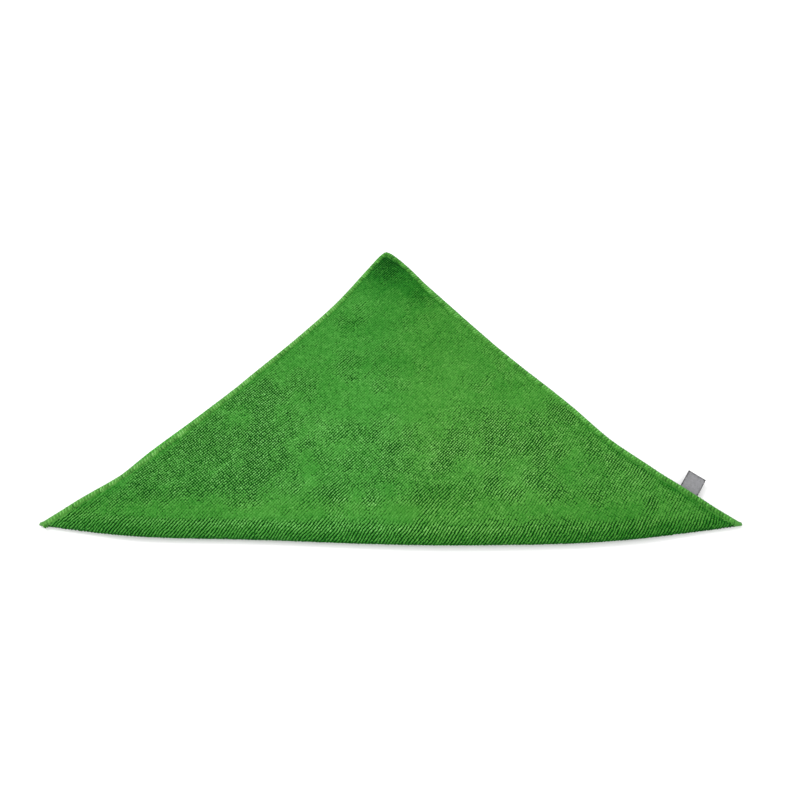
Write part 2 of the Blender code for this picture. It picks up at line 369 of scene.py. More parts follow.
# The label's ribbon
PLY = 0.00022
RUN_POINTS = 26
BEND_POINTS = 9
ACROSS_POINTS = 13
LABEL_ARCH = 0.0005  # how far its free part arches, twists and cups
LABEL_TWIST = 0.0003
LABEL_CUP = 0.0002
MAP_STEP = 1.1  # its two faces lie this many widths apart on its map
SELVEDGE_AND_SHADE_POWER = 9.0  # how narrow its dark border is: woven selvedge with painted shade on its edges and fold
SELVEDGE_AND_SHADE_DARK = 0.6

# Camera and light
LENS = 26.55
SENSOR = 36.0
CAMERA_PLACE = (0.0074, -0.2467, 0.4711)
CAMERA_TILT = math.radians(25.98)
WORLD_STRENGTH = 1.12
FLOOR_SIZE = 8.0
FLOOR_DROP = 0.0001  # it lies this far below the cloth

SEED = 11
NOISE_REACH = 0.7  # noise is laid out this far to each side of the middle

HALF_FOLD = CLOTH_SIDE / math.sqrt(2)
LEFT_TIP = Vector((-HALF_FOLD, 0.0))
RIGHT_TIP = Vector((HALF_FOLD, 0.0))
APEX = Vector((-APEX_LEFT, HALF_FOLD))
FLAT_HEIGHT = SHEET + LAYER_GAP + SHEET


# The shape of the folded cloth


def smooth_step(x):
    t = np.clip(x, 0.0, 1.0)
    return t * t * (3 - 2 * t)


def rising(x, start, width):
    """0 up to the start, 1 from start + width on."""
    return smooth_step((x - start) / width)


def falling(x, end, width):
    """1 up to end - width, 0 from the end on."""
    return smooth_step((end - x) / width)


def hump(x, middle, reach):
    return np.exp(-(((x - middle) / reach) ** 2))


def unit(vectors):
    return vectors / np.maximum(np.linalg.norm(vectors, axis=-1, keepdims=True), 1e-12)


def smooth_through(rows, column, at):
    """A smooth curve through one column of a table, by the table's first column."""
    known = np.array([row[0] for row in rows])
    value = np.array([row[column] for row in rows])
    slope = np.gradient(value, known)
    i = np.clip(np.searchsorted(known, at) - 1, 0, len(known) - 2)
    width = known[i + 1] - known[i]
    t = (at - known[i]) / width
    return (
        (1 + 2 * t) * (1 - t) ** 2 * value[i]
        + t * (1 - t) ** 2 * width * slope[i]
        + t * t * (3 - 2 * t) * value[i + 1]
        + t * t * (t - 1) * width * slope[i + 1]
    )


def fold_line(x):
    """y of the fold's nose at x, and how high the roll's crest stands there."""
    share = (x + HALF_FOLD) / (2 * HALF_FOLD)
    return -smooth_through(FOLD, 1, share), smooth_through(FOLD, 2, share)


def leg_line(tip, rows, peek):
    """x and y along one leg's hem, from the tip to the apex; peek is 1 for the upper hem."""
    share = np.linspace(0.0, 1.0, LEG_SAMPLES)
    along = APEX - tip
    inward = Vector((along.y, -along.x)).normalized() * (1 if tip.x < 0 else -1)
    drawn = smooth_through(rows, 1, share) + peek * smooth_through(rows, 2, share)
    return tip.x + along.x * share + inward.x * drawn, tip.y + along.y * share + inward.y * drawn


LEGS = {
    peek: (leg_line(LEFT_TIP, LEFT_LEG, peek), leg_line(RIGHT_TIP, RIGHT_LEG, peek))
    for peek in (0, 1)
}


def hem_line(x, peek):
    """y of the hem at x, with the apex rounded off."""
    (left_x, left_y), (right_x, right_y) = LEGS[peek]
    left = np.interp(x, left_x, left_y, right=APEX.y) + np.maximum(x - left_x[-1], 0)
    right = np.interp(x, right_x[::-1], right_y[::-1], left=APEX.y)
    right = right + np.maximum(right_x[-1] - x, 0)
    return (left + right) / 2 - np.hypot((left - right) / 2, APEX_ROUND)


def label_place():
    """Where the label's middle leaves the upper hem, and the direction in which it points."""
    along = (APEX - RIGHT_TIP).normalized()
    share = LABEL_ALONG_LEG / (APEX - RIGHT_TIP).length
    x = RIGHT_TIP.x + along.x * LABEL_ALONG_LEG
    drawn = float(smooth_through(RIGHT_LEG, 1, share))
    x -= along.y * drawn
    outward = math.atan2(-along.x, along.y) + LABEL_SKEW
    return Vector((x, float(hem_line(x, 1)))), Vector((math.cos(outward), math.sin(outward)))


def patches(table, x, y):
    """Sum of soft round patches."""
    total = np.zeros(np.broadcast(x, y).shape)
    for centre_x, centre_y, reach_x, reach_y, amount in table:
        total += amount * np.exp(-(((x - centre_x) / reach_x) ** 2) - ((y - centre_y) / reach_y) ** 2)
    return total


def crease_rise(x, y):
    """How far the creases lift the upper layer at a point."""
    total = np.zeros(np.broadcast(x, y).shape)
    for start_x, start_y, end_x, end_y, reach, height in CREASES:
        along_x, along_y = end_x - start_x, end_y - start_y
        share = ((x - start_x) * along_x + (y - start_y) * along_y) / (along_x**2 + along_y**2)
        share = np.clip(share, 0.0, 1.0)
        away = np.hypot(x - start_x - share * along_x, y - start_y - share * along_y)
        total += height * hump(away, 0.0, reach)
    return total


def rise(x, y):
    """How far the upper layer lifts off the lower one at a point."""
    seat, _ = label_place()
    away = np.hypot(x - seat.x, y - seat.y)
    label = LABEL_RISE * np.exp(-((away / LABEL_RISE_REACH) ** 4))
    return patches(RISES, x, y) + crease_rise(x, y) + label


def edge_wave(x, from_hem):
    """How far the upper hem's waves lift it, less and less towards the inside."""
    lift = sum(height * (1 + np.sin(2 * math.pi * x / length)) / 2 for length, height in EDGE_WAVES)
    return lift * hump(from_hem, 0.0, EDGE_REACH)


def roll(nose, foot, crest, low, high, count):
    """Points of the rolled fold, from its foot round its nose to its crest, as (y, z)."""
    t = np.linspace(0.0, 1.0, count)
    pull = -FOLD_PULL * foot / FOLD_FOOT
    y = (1 - t) ** 3 * foot + 3 * t * (1 - t) * pull + t**3 * crest
    z = low + (high - low) * (3 * t**2 - 2 * t**3)
    return np.stack([y - y.min() + nose, z], 1)


def spread(start, end, count):
    """Distances from start to end, closest together across the hem."""
    hem = max(end - HEM_ZONE, (start + end) / 2)
    return np.append(np.linspace(start, hem, count + 1)[1:], hem + (end - hem) * HEM_SHARES)


def sheet_thickness(from_hem):
    return HEM_SHEET + (SHEET - HEM_SHEET) * smooth_step(from_hem / HEM_WIDTH)


def hairpin(x, fold, lower, upper):
    """Skin and lining of the two layers, each from the lower hem round the fold to the upper hem.

    A row is: distance behind the nose, height, distance in from the hem.
    """
    fold_y, fold_height = fold
    full = float(smooth_step((lower - TIP_DEPTH) / FOLD_TAPER))
    reach = ROLL_LEAST + (1 - ROLL_LEAST) * full
    foot, crest = FOLD_FOOT * reach, FOLD_CREST * reach
    high = FLAT_HEIGHT + (fold_height - FLAT_HEIGHT) * full
    outer = roll(0.0, foot, crest, 0.0, high, ROLL_POINTS)
    inner_crest = crest - (1 - full) * SHEET / 2
    inner = roll(SHEET, foot * INNER_FOOT, inner_crest, SHEET, high - SHEET, ROLL_POINTS)
    crest = outer[-1, 0]

    def underside(d):
        """Height of the upper layer's underside at distances d behind the nose."""
        sink = smooth_step((d - crest) / (FOLD_RUNOUT * max(full, ROLL_LEAST)))
        lift = rise(x, d + fold_y) + edge_wave(x, upper - d)
        lift *= smooth_step((d - crest) / RISE_START)
        return high - SHEET + (FLAT_HEIGHT - high) * sink + lift

    def rows(d, z, end):
        return np.stack([d, z, end - d], 1)

    table_d = spread(outer[0, 0], lower - HEM_END, TABLE_POINTS)[::-1]
    top_d = spread(crest, upper - HEM_END, TOP_POINTS)
    lining_d = spread(inner[-1, 0], upper - HEM_END, TOP_POINTS)
    floor_d = spread(inner[0, 0], lower - HEM_END, TABLE_POINTS)[::-1]
    skin = np.vstack(
        [
            rows(table_d, np.zeros_like(table_d), lower),
            rows(outer[:, 0], outer[:, 1], lower),
            rows(top_d, underside(top_d) + sheet_thickness(upper - top_d), upper),
        ]
    )
    lining = np.vstack(
        [
            rows(floor_d, sheet_thickness(lower - floor_d), lower),
            rows(inner[:, 0], inner[:, 1], lower),
            rows(lining_d, underside(lining_d), upper),
        ]
    )
    return skin, lining


def section(x):
    """Skin and lining at x as rows of y, z and distance in from the hem."""
    fold = fold_line(x)
    lower = float(hem_line(x, 0) - fold[0])
    upper = float(hem_line(x, 1) - fold[0])
    missing = max(TIP_DEPTH - lower, 0.0)
    small = max(1 - missing / TIP_DEPTH, TIP_SMALLEST)
    scale = (small, TIP_HEIGHT + (1 - TIP_HEIGHT) * small, small)
    lines = hairpin(x, fold, lower + missing, upper + missing)
    return [line * scale + (fold[0], 0.0, 0.0) for line in lines]


# Grids that read the shape between sections


def along_line(line):
    """Length along a section's line, measured from the fold's nose."""
    steps = np.hypot(np.diff(line[:, 0]), np.diff(line[:, 1]))
    length = np.append(0.0, np.cumsum(steps))
    return length - length[np.argmin(line[:, 0])]


def between(grid, i, j):
    """Values of a grid at fractional rows i and columns j."""
    row = np.clip(i.astype(int), 0, grid.shape[0] - 2)
    column = np.clip(j.astype(int), 0, grid.shape[1] - 2)
    di = np.clip(i - row, 0, 1)[:, None]
    dj = np.clip(j - column, 0, 1)[:, None]
    near = grid[row, column] * (1 - dj) + grid[row, column + 1] * dj
    far = grid[row + 1, column] * (1 - dj) + grid[row + 1, column + 1] * dj
    return near * (1 - di) + far * di


class Shape:
    """The folded cloth's skin by x and length from the nose, and its layers' faces by x and y."""

    LENGTH_STEP = 0.001
    LENGTHS = (-HALF_FOLD - 0.01, HALF_FOLD + 0.02)  # longer than any section
    DEPTHS = (-0.03, HALF_FOLD + 0.01)  # wider than the cloth
    FACES = ("upper_top", "upper_low", "lower_top", "lower_low")

    def __init__(self):
        count = round(2 * (HALF_FOLD - TIP_END) / STATION_STEP) + 1
        self.x = np.linspace(LEFT_TIP.x + TIP_END, RIGHT_TIP.x - TIP_END, count)
        self.step = self.x[1] - self.x[0]
        self.sections = [section(x) for x in self.x]
        self.lengths = np.arange(*self.LENGTHS, self.LENGTH_STEP)
        self.y = np.arange(*self.DEPTHS, self.LENGTH_STEP)
        low = TABLE_POINTS + len(HEM_SHARES)  # where the roll starts in a section's line
        upper = low + ROLL_POINTS - 1  # and where it ends
        skin, faces = [], []
        for x, (outer, lining) in zip(self.x, self.sections):
            length = along_line(outer)
            y, z, hem = (np.interp(self.lengths, length, column) for column in outer.T)
            skin.append(np.stack([np.full_like(y, x), y, z, hem], 1))
            top = np.interp(self.y, outer[upper:, 0], outer[upper:, 1])
            under = np.interp(self.y, lining[upper:, 0], lining[upper:, 1])
            inside = np.interp(self.y, lining[:low, 0][::-1], lining[:low, 1][::-1])
            faces.append(np.stack([top, under, inside, np.zeros_like(top)], 1))
        self.skin = np.array(skin)
        self.faces = np.array(faces)
        by_x = np.gradient(self.skin[..., :3], self.step, axis=0)
        by_length = np.gradient(self.skin[..., :3], self.LENGTH_STEP, axis=1)
        self.turns = np.concatenate([by_x, unit(by_length)], 2)

    def skin_at(self, x, length):
        """Point, distance from the hem, direction along x and direction along the section."""
        i, j = (x - self.x[0]) / self.step, (length - self.lengths[0]) / self.LENGTH_STEP
        found, turn = between(self.skin, i, j), between(self.turns, i, j)
        return found[:, :3], found[:, 3] * LEG_SLOPE, turn[:, :3], turn[:, 3:]

    def face_at(self, face, x, y):
        """Height of a layer's face."""
        i, j = (x - self.x[0]) / self.step, (y - self.y[0]) / self.LENGTH_STEP
        return between(self.faces, i, j)[:, self.FACES.index(face)]


# Meshes


def add_piece(name, points, faces, finish, shift):
    """An object from an array of points and arrays of faces; shift brings it to the frame."""
    mesh = bpy.data.meshes.new(name)
    mesh.from_pydata((points + shift).tolist(), [], [f for group in faces for f in group.tolist()])
    mesh.shade_smooth()
    mesh.materials.append(finish)
    piece = bpy.data.objects.new(name, mesh)
    bpy.context.scene.collection.objects.link(piece)
    return piece


def add_map(piece, flat):
    """A map for the finish from the place of each point on the flat cloth, in metres."""
    low = flat.min(0)
    size = (flat.max(0) - low).max()
    corners = np.zeros(len(piece.data.loops), dtype=np.int32)
    piece.data.loops.foreach_get("vertex_index", corners)
    layer = piece.data.uv_layers.new(name="OFBake")
    layer.uv.foreach_set("vector", ((flat - low) / size)[corners].astype(np.float32).ravel())


def add_values(piece, name, values):
    """A number for each point, read by the finish."""
    made = piece.data.attributes.new(name, "FLOAT", "POINT")
    made.data.foreach_set("value", values.astype(np.float32))


def noise(x, y, size, rng):
    """Smooth seeded noise from -1 to 1 with lumps of about this size."""
    count = int(2 * NOISE_REACH / size) + 3
    lattice = rng.uniform(-1, 1, (count, count, 1))
    i, j = (x + NOISE_REACH) / size, (y + NOISE_REACH) / size
    i, j = (np.floor(v) + smooth_step(v - np.floor(v)) for v in (i, j))
    return between(lattice, i, j)[:, 0]


def with_lumps(value, lumps, x, y, rng):
    """The value with its lumps of noise added, each by its size and amount."""
    for size, amount in lumps:
        value = value + amount * noise(x, y, size, rng)
    return value


def ring_faces(rings, around):
    """Quads between closed rings of points, and a face at each end."""
    grid = np.arange(rings * around).reshape(rings, around)
    after = np.roll(grid, -1, axis=1)
    quads = np.stack([grid[:-1], after[:-1], after[1:], grid[1:]], -1).reshape(-1, 4)
    return quads, np.array([grid[0, ::-1], grid[-1]])


def outward(line):
    """Direction away from the layer at each point of a section's line."""
    along = unit(np.gradient(line[:, :2], axis=0))
    return np.stack([-along[:, 1], along[:, 0]], 1)


def edge(start, end):
    """The rounded edge between two faces of a layer."""
    middle, half = (start + end) / 2, (start - end) / 2
    bulge = np.array((HEM_END * EDGE_BULGE, 0.0))
    return np.array([middle + half * math.cos(a) + bulge * math.sin(a) for a in EDGE_ANGLES])


def inside_hem(from_hem):
    """0 on the hem, 1 where the pile stands; from_hem is measured across the fold."""
    return smooth_step((from_hem * LEG_SLOPE - HEM_BAND) / HEM_STEP)


def hem_painted_sheen(x):
    """How much painted sheen makes the upper hem paler at x."""
    return HEM_PAINTED_SHEEN + HEM_PAINTED_SHEEN_LEFT * falling(x, *HEM_PAINTED_SHEEN_BELOW)


def make_ground(shape, finishes, shift):
    """The knitted ground: one closed sheet, thinner than the solid by its pile."""
    rings = []
    on_hem = []
    painted_sheen = []
    flat = []
    for x, (skin, lining) in zip(shape.x, shape.sections):
        fade = min(1.0, np.ptp(skin[:, 0]) / (2 * TIP_DEPTH))
        sink = (THREAD_SINK + (PILE - THREAD_SINK) * inside_hem(skin[:, 2])) * fade
        outer = skin[:, :2] - outward(skin) * sink[:, None]
        sink = THREAD_SINK * (1 - inside_hem(lining[:, 2])) * fade
        inner = lining[:, :2] + outward(lining) * sink[:, None]
        ring = np.vstack([outer, edge(outer[-1], inner[-1]), inner[::-1], edge(inner[0], outer[0])])
        rings.append(np.insert(ring, 0, x, axis=1))
        rim = np.zeros(len(EDGE_ANGLES))
        from_hem = np.concatenate([skin[:, 2], rim, lining[::-1, 2], rim])
        on_hem.append(from_hem * LEG_SLOPE < HEM_BAND + HEM_STEP)
        upper = np.arange(len(skin)) > TABLE_POINTS + len(HEM_SHARES)
        upper = np.concatenate([upper, rim + 1, upper[::-1], rim])
        # painted sheen on the upper layer's hem
        painted_sheen.append(upper * hem_painted_sheen(x))
        steps = np.linalg.norm(np.diff(ring, axis=0), axis=1)
        length = np.append(0.0, np.cumsum(steps))
        length -= length[len(skin) // 2]
        flat.append(np.stack([np.full_like(length, x), length], 1))
    quads, caps = ring_faces(len(rings), len(rings[0]))
    piece = add_piece("cloth_ground", np.vstack(rings), (quads, caps), finishes["ground"], shift)
    piece.data.materials.append(finishes["hem"])
    hem_points = np.concatenate(on_hem)
    is_hem = np.append(hem_points[quads].all(1), (True, True)).astype(np.int32)
    piece.data.polygons.foreach_set("material_index", is_hem)
    add_map(piece, np.vstack(flat))
    add_values(piece, "painted_sheen", np.concatenate(painted_sheen))
    return piece


def loop_places(rng):
    """x and length from the nose of every loop, and the rib's run along x for each length there."""
    reach = HALF_FOLD + PLACES_PAST
    along = np.arange(-reach, reach, LOOP_PITCH)
    across = np.arange(-reach, reach, RIB_PITCH)
    a, b = np.meshgrid(along, across)
    a = (a + rng.normal(0, ALONG_JITTER, a.shape)).ravel()
    b = (b + rng.normal(0, ACROSS_JITTER, b.shape)).ravel()
    a = with_lumps(a, ALONG_LUMPS, a, b, rng)
    b = with_lumps(b, ACROSS_LUMPS, a, b, rng)
    x, length = (a + b) / math.sqrt(2), (a - b) / math.sqrt(2)
    skew = SKEW + SKEW_RIGHT * x / HALF_FOLD
    roll_share = np.tanh(length / ROLL_SKEW_REACH)
    x = x - skew * length - ROLL_SKEW * ROLL_SKEW_REACH * roll_share
    return x, length, 1 - skew - ROLL_SKEW * (1 - roll_share**2)


def dome(sides):
    """A loop's shape in shares of its size: rings of points and a top, with its triangles."""
    turn = np.arange(sides) * 2 * math.pi / sides
    ring = np.stack([np.cos(turn), np.sin(turn)], 1)
    foot = np.column_stack([ring, np.full(sides, LOOP_FOOT)])
    shoulder = np.column_stack([ring * SHOULDER_WIDE, np.full(sides, SHOULDER_HIGH)])
    points = np.vstack([foot, shoulder, (0.0, 0.0, 1.0)])
    faces = []
    for i in range(sides):
        j = (i + 1) % sides
        faces += [(i, j, sides + j), (i, sides + j, sides + i), (sides + i, sides + j, 2 * sides)]
    return points, np.array(faces)


class Loops:
    """The loops of one face of the folded cloth: their places, directions, look and size."""

    def __init__(self, shape, places, upper, rng):
        self.upper = upper
        self.put_on(shape, places)
        self.choose_look(rng)
        self.choose_size(rng)
        self.choose_lean(rng)

    def put_on(self, shape, places):
        """Keep the loops that stand clear of the hems and tips, and set them on the skin."""
        x, length, run = places
        keep = (length > -PILE_ROUND) if self.upper else (length <= -PILE_ROUND)
        keep &= np.abs(x) + np.abs(length) < HALF_FOLD + LOOPS_PAST
        x, length, run = x[keep], length[keep], run[keep]
        point, from_hem, by_x, by_length = shape.skin_at(x, length)
        keep = (from_hem > HEM_BAND - PILE_OVERLAP) & (np.abs(x) < HALF_FOLD - TIP_BARE)
        self.x, self.length, self.point = x[keep], length[keep], point[keep]
        self.by_hem = from_hem[keep] - HEM_BAND
        by_x, by_length = by_x[keep], by_length[keep]
        self.normal = unit(np.cross(by_x, by_length))
        self.rib = unit(by_x * run[keep][:, None] + by_length)
        self.side = np.cross(self.normal, self.rib)
        self.count = len(self.x)

    def choose_look(self, rng):
        """How flat each loop is brushed, its tone, its foot's shade and how yellow it is."""
        x, y, length = self.x, self.point[:, 1], self.length
        brushed = with_lumps(BRUSH, BRUSH_LUMPS, x, length, rng)
        brushed += BRUSH_APEX * rising(length, *BRUSH_APEX_FROM)
        tone = with_lumps(TONE, TONE_LUMPS, x, length, rng)
        warm = rising(x, *WARM_FROM)
        brushed += (BRUSH_HEM + BRUSH_HEM_RIGHT * warm) * hump(self.by_hem, 0.0, BRUSH_HEM_REACH)
        # painted shade in the groove beside the hem
        valley_shade = VALLEY_SHADE + VALLEY_RIGHT * rising(x, *VALLEY_RIGHT_FROM)
        valley_shade += VALLEY_APEX * rising(y, *VALLEY_APEX_FROM)
        tone -= valley_shade * hump(self.by_hem, *VALLEY_LINE)
        on_roll = np.zeros(self.count)
        if self.upper:
            on_roll = falling(length, *ROLL_BELOW) * (1 + ROLL_RIGHT * rising(x, *ROLL_RIGHT_FROM))
            brushed += patches(BRUSHED, x, y)
            # painted shade on the roll, darkest at the fold's nose
            tone += patches(TONES, x, y) - ROLL_SHADE * falling(length, *ROLL_SHADE_BELOW)
            tone -= NOSE_SHADE * falling(length, *NOSE_SHADE_BELOW)
            warm = WARM_UPPER * warm + WARM_CREST * hump(y, *WARM_CREST_LINE)
        brushed = np.clip(brushed, 0, 1) * (1 - on_roll)
        tone += rng.normal(0, 1, self.count) * (TONE_JITTER + TONE_JITTER_FLAT * brushed)
        tone += TONE_FLAT * brushed
        self.brushed, self.on_roll, self.tone, self.warm = brushed, on_roll, tone, warm
        self.foot_shade = FOOT_SHADE * (1 - FOOT_SHADE_FLAT * brushed)

    def choose_size(self, rng):
        """Height, and half the length and width, of each loop."""
        jitter = rng.normal(0, 1, self.count).clip(-HEIGHT_JITTER_MOST, HEIGHT_JITTER_MOST)
        self.height = PILE * (1.0 + HEIGHT_JITTER * jitter) * (1 - FLAT_LOWER * self.brushed)
        by_hem = rising(self.by_hem, 0.0, HEM_HEIGHT_REACH)
        self.height *= HEM_HEIGHT + (1 - HEM_HEIGHT) * by_hem
        long = self.mixed(OPEN_LONG, FLAT_LONG, ROLL_LONG)
        wide = self.mixed(OPEN_FILL, FLAT_FILL, ROLL_FILL)
        self.half_long = LOOP_PITCH * long / 2 * (1 + LONG_JITTER * rng.normal(0, 1, self.count))
        self.half_wide = RIB_PITCH * wide / 2 * (1 + WIDE_JITTER * rng.normal(0, 1, self.count))

    def mixed(self, standing, flat, roll):
        """One of three values, by how flat the loop is brushed and how far it is on the roll."""
        value = standing + (flat - standing) * self.brushed
        return value + (roll - value) * self.on_roll

    def choose_lean(self, rng):
        """How far each loop is turned, and how far it leans along and across its rib."""
        x, length = self.x, self.length
        self.yaw = rng.normal(0, YAW_JITTER, self.count)
        self.yaw = self.yaw + YAW_FLAT * self.brushed * noise(x, length, YAW_LUMP, rng)
        self.lean_along = with_lumps(LEAN, LEAN_LUMPS, x, length, rng)
        self.lean_side = with_lumps(0.0, SIDE_LEAN_LUMPS, x, length, rng)
        self.lean_side = self.lean_side + rng.normal(0, SIDE_LEAN_JITTER, self.count)

    def built(self):
        """Points, places on the flat cloth and tones by loop and point, and one loop's faces."""
        form, faces = dome(UPPER_SIDES if self.upper else UNDER_SIDES)
        a = form[None, :, 0] * self.half_long[:, None]
        b = form[None, :, 1] * self.half_wide[:, None]
        c = form[None, :, 2] * self.height[:, None]
        cos, sin = np.cos(self.yaw)[:, None], np.sin(self.yaw)[:, None]
        lift = np.maximum(form[None, :, 2], 0)
        a, b = a * cos - b * sin, a * sin + b * cos
        a, b = a + lift * self.lean_along[:, None], b + lift * self.lean_side[:, None]
        base = self.point - self.normal * PILE
        points = base[:, None] + a[..., None] * self.rib[:, None] + b[..., None] * self.side[:, None]
        points += c[..., None] * self.normal[:, None]
        points[..., 2] = np.maximum(points[..., 2], 0.0)
        diagonal = math.sqrt(0.5)
        flat_x = self.x[:, None] + (a - b) * diagonal
        flat_y = self.length[:, None] + (a + b) * diagonal
        depth = (1 - form[None, :, 2].clip(0, 1)) ** FOOT_SHADE_CURVE
        tones = self.tone[:, None] - self.foot_shade[:, None] * depth
        return points, np.stack([flat_x, flat_y], -1), tones, faces


def make_pile(name, loops, cuts, finish, shift):
    """The loops of one face of the folded cloth, in pieces that part at the cuts."""
    points, flat, tones, faces = loops.built()
    corners = points.shape[1]
    pieces = []
    part = np.digitize(loops.x, cuts)
    for number in range(len(cuts) + 1):
        mine = part == number
        start = np.arange(mine.sum())[:, None, None] * corners
        triangles = (faces[None] + start).reshape(-1, 3)
        piece_name = f"{name}_{number + 1}"
        made = add_piece(piece_name, points[mine].reshape(-1, 3), (triangles,), finish, shift)
        add_map(made, flat[mine].reshape(-1, 2))
        add_values(made, "tone", tones[mine].ravel())
        add_values(made, "warm", np.repeat(loops.warm[mine], corners))
        pieces.append(made)
    return pieces


def hem_route(peek):
    """Points along a hem in plan, from tip to tip, and the length up to each."""
    x = np.linspace(LEFT_TIP.x + HEM_START, RIGHT_TIP.x - HEM_START, ROUTE_SAMPLES)
    line = np.stack([x, hem_line(x, peek)], 1)
    length = np.append(0.0, np.cumsum(np.linalg.norm(np.diff(line, axis=0), axis=1)))
    return line, length


def on_route(route, at):
    """Place and direction inwards at lengths along a hem."""
    line, length = route
    step = STITCH / 2
    place, ahead, behind = (
        np.stack([np.interp(near, length, line[:, i]) for i in (0, 1)], -1)
        for near in (at, at + step, at - step)
    )
    along = unit(ahead - behind)
    return place, np.stack([along[..., 1], -along[..., 0]], -1)


def tube(points, up, radius, sides):
    """Points and faces of a round thread along a line; up points away from what it lies on."""
    along = unit(np.gradient(points, axis=0))
    side = unit(np.cross(along, up))
    top = np.cross(side, along)
    turn = np.arange(sides) * 2 * math.pi / sides
    ring = points[:, None] + radius * (
        np.cos(turn)[None, :, None] * side[:, None] + np.sin(turn)[None, :, None] * top[:, None]
    )
    return ring.reshape(-1, 3), *ring_faces(len(points), sides)


def thread_line(shape, layer, place, inward, band, upward):
    """Points of the thread on one face of a hem, where up is, and how far they are over its edge."""
    plan = place + inward * (band * HEM_BAND)[:, None]
    high = shape.face_at(layer + "_top", plan[:, 0], plan[:, 1])
    low = shape.face_at(layer + "_low", plan[:, 0], plan[:, 1])
    middle = (high + low) / 2
    skin = high - THREAD if upward > 0 else low + THREAD
    over = falling(band, *OVER_EDGE)
    z = skin * (1 - over) + middle * over
    up = np.column_stack([-inward * over[:, None], upward * (1 - over) + UP_LEAST * upward])
    return np.column_stack([plan, z]), up, over


def thread_tones(line, place, over, stitches, rng):
    """Tone of each point of the thread."""
    jittered = (stitches, len(STITCH_ALONG))
    lumps = noise(place[:, 0], place[:, 1], THREAD_LUMP, rng)
    stitch_tone = THREAD_TONE + THREAD_TONE_JITTER * rng.normal(0, 1, stitches)
    tone = stitch_tone[:, None] + STITCH_TONE + rng.normal(0, THREAD_POINT_JITTER, jittered)
    tone = tone.ravel() + THREAD_LUMP_TONE * lumps - EDGE_SHADE * over
    return tone + patches(HEM_TONES, line[:, 0], line[:, 1])


def make_hem(name, shape, peek, finish, shift, rng):
    """Overlock thread of one layer's hem: a zigzag on each face that meets round the edge."""
    layer = "upper" if peek else "lower"
    route = hem_route(peek)
    stitches = int(route[1][-1] / STITCH) - 1
    threads = []
    for upward in (1.0, -1.0):
        at = np.arange(stitches)[:, None] + STITCH_ALONG
        at = at + rng.normal(0, STITCH_JITTER, at.shape)
        band = (STITCH_IN + rng.normal(0, BAND_JITTER, at.shape)).ravel()
        place, inward = on_route(route, at.ravel() * STITCH)
        line, up, over = thread_line(shape, layer, place, inward, band, upward)
        points, quads, caps = tube(line, up, THREAD, THREAD_SIDES)
        start = len(threads) * len(points)
        tone = np.repeat(thread_tones(line, place, over, stitches, rng), THREAD_SIDES)
        painted_sheen = np.repeat(peek * hem_painted_sheen(line[:, 0]), THREAD_SIDES)
        threads.append((points, quads + start, caps + start, tone, painted_sheen))
    points, quads, caps, tone, painted_sheen = (np.concatenate(both) for both in zip(*threads))
    piece = add_piece(name, points, (quads, caps), finish, shift)
    add_map(piece, points[:, :2])
    add_values(piece, "tone", tone)
    add_values(piece, "painted_sheen", painted_sheen)
    return piece


def label_path():
    """The ribbon's middle line as (distance out from the hem, height), and how far it reaches."""
    turn = LABEL_THICK / 2 - PLY / 2
    reach = LABEL_LENGTH - turn - PLY / 2
    run = np.linspace(-LABEL_ROOT, reach, RUN_POINTS)
    bend = np.radians(np.linspace(-90, 90, BEND_POINTS)[1:-1])
    path = [(d, -turn) for d in run]
    path += [(reach + turn * math.cos(a), turn * math.sin(a)) for a in bend]
    path += [(d, turn) for d in run[::-1]]
    return np.array(path), reach


def label_face(path, across, face):
    """Points of one face of the ribbon; face is 1 or -1."""
    seat, out = label_place()
    side = Vector((out.y, -out.x))
    along = unit(np.gradient(path, axis=0))
    normal = np.stack([along[:, 1], -along[:, 0]], 1)
    line = path + normal * face * PLY / 2
    d, v = line[:, 0][:, None], across[None, :]
    free = np.maximum(d, 0) / LABEL_LENGTH
    lift = np.maximum(d, 0) * math.tan(LABEL_LIFT) + LABEL_ARCH * np.sin(math.pi * free)
    lift = lift - LABEL_TWIST * free * v + LABEL_CUP * free * v**2
    z = SHEET + PIECE_GAP + LABEL_THICK / 2 + line[:, 1][:, None] + lift
    plan_x = seat.x + out.x * d + side.x * v * LABEL_WIDTH / 2
    plan_y = seat.y + out.y * d + side.y * v * LABEL_WIDTH / 2
    return np.stack([plan_x, plan_y, z], -1).reshape(-1, 3)


def label_faces(rows, columns):
    """Quads of the ribbon's two faces, and of the walls between their rims."""
    grid = np.arange(rows * columns).reshape(rows, columns)
    corners = (grid[:-1, :-1], grid[1:, :-1], grid[1:, 1:], grid[:-1, 1:])
    quads = np.stack(corners, -1).reshape(-1, 4)
    rim = np.concatenate([grid[:, 0], grid[-1, 1:], grid[-2::-1, -1], grid[0, -2:0:-1]])
    after = np.roll(rim, -1)
    walls = np.stack([rim, rim + grid.size, after + grid.size, after], -1)
    return quads, quads[:, ::-1] + grid.size, walls


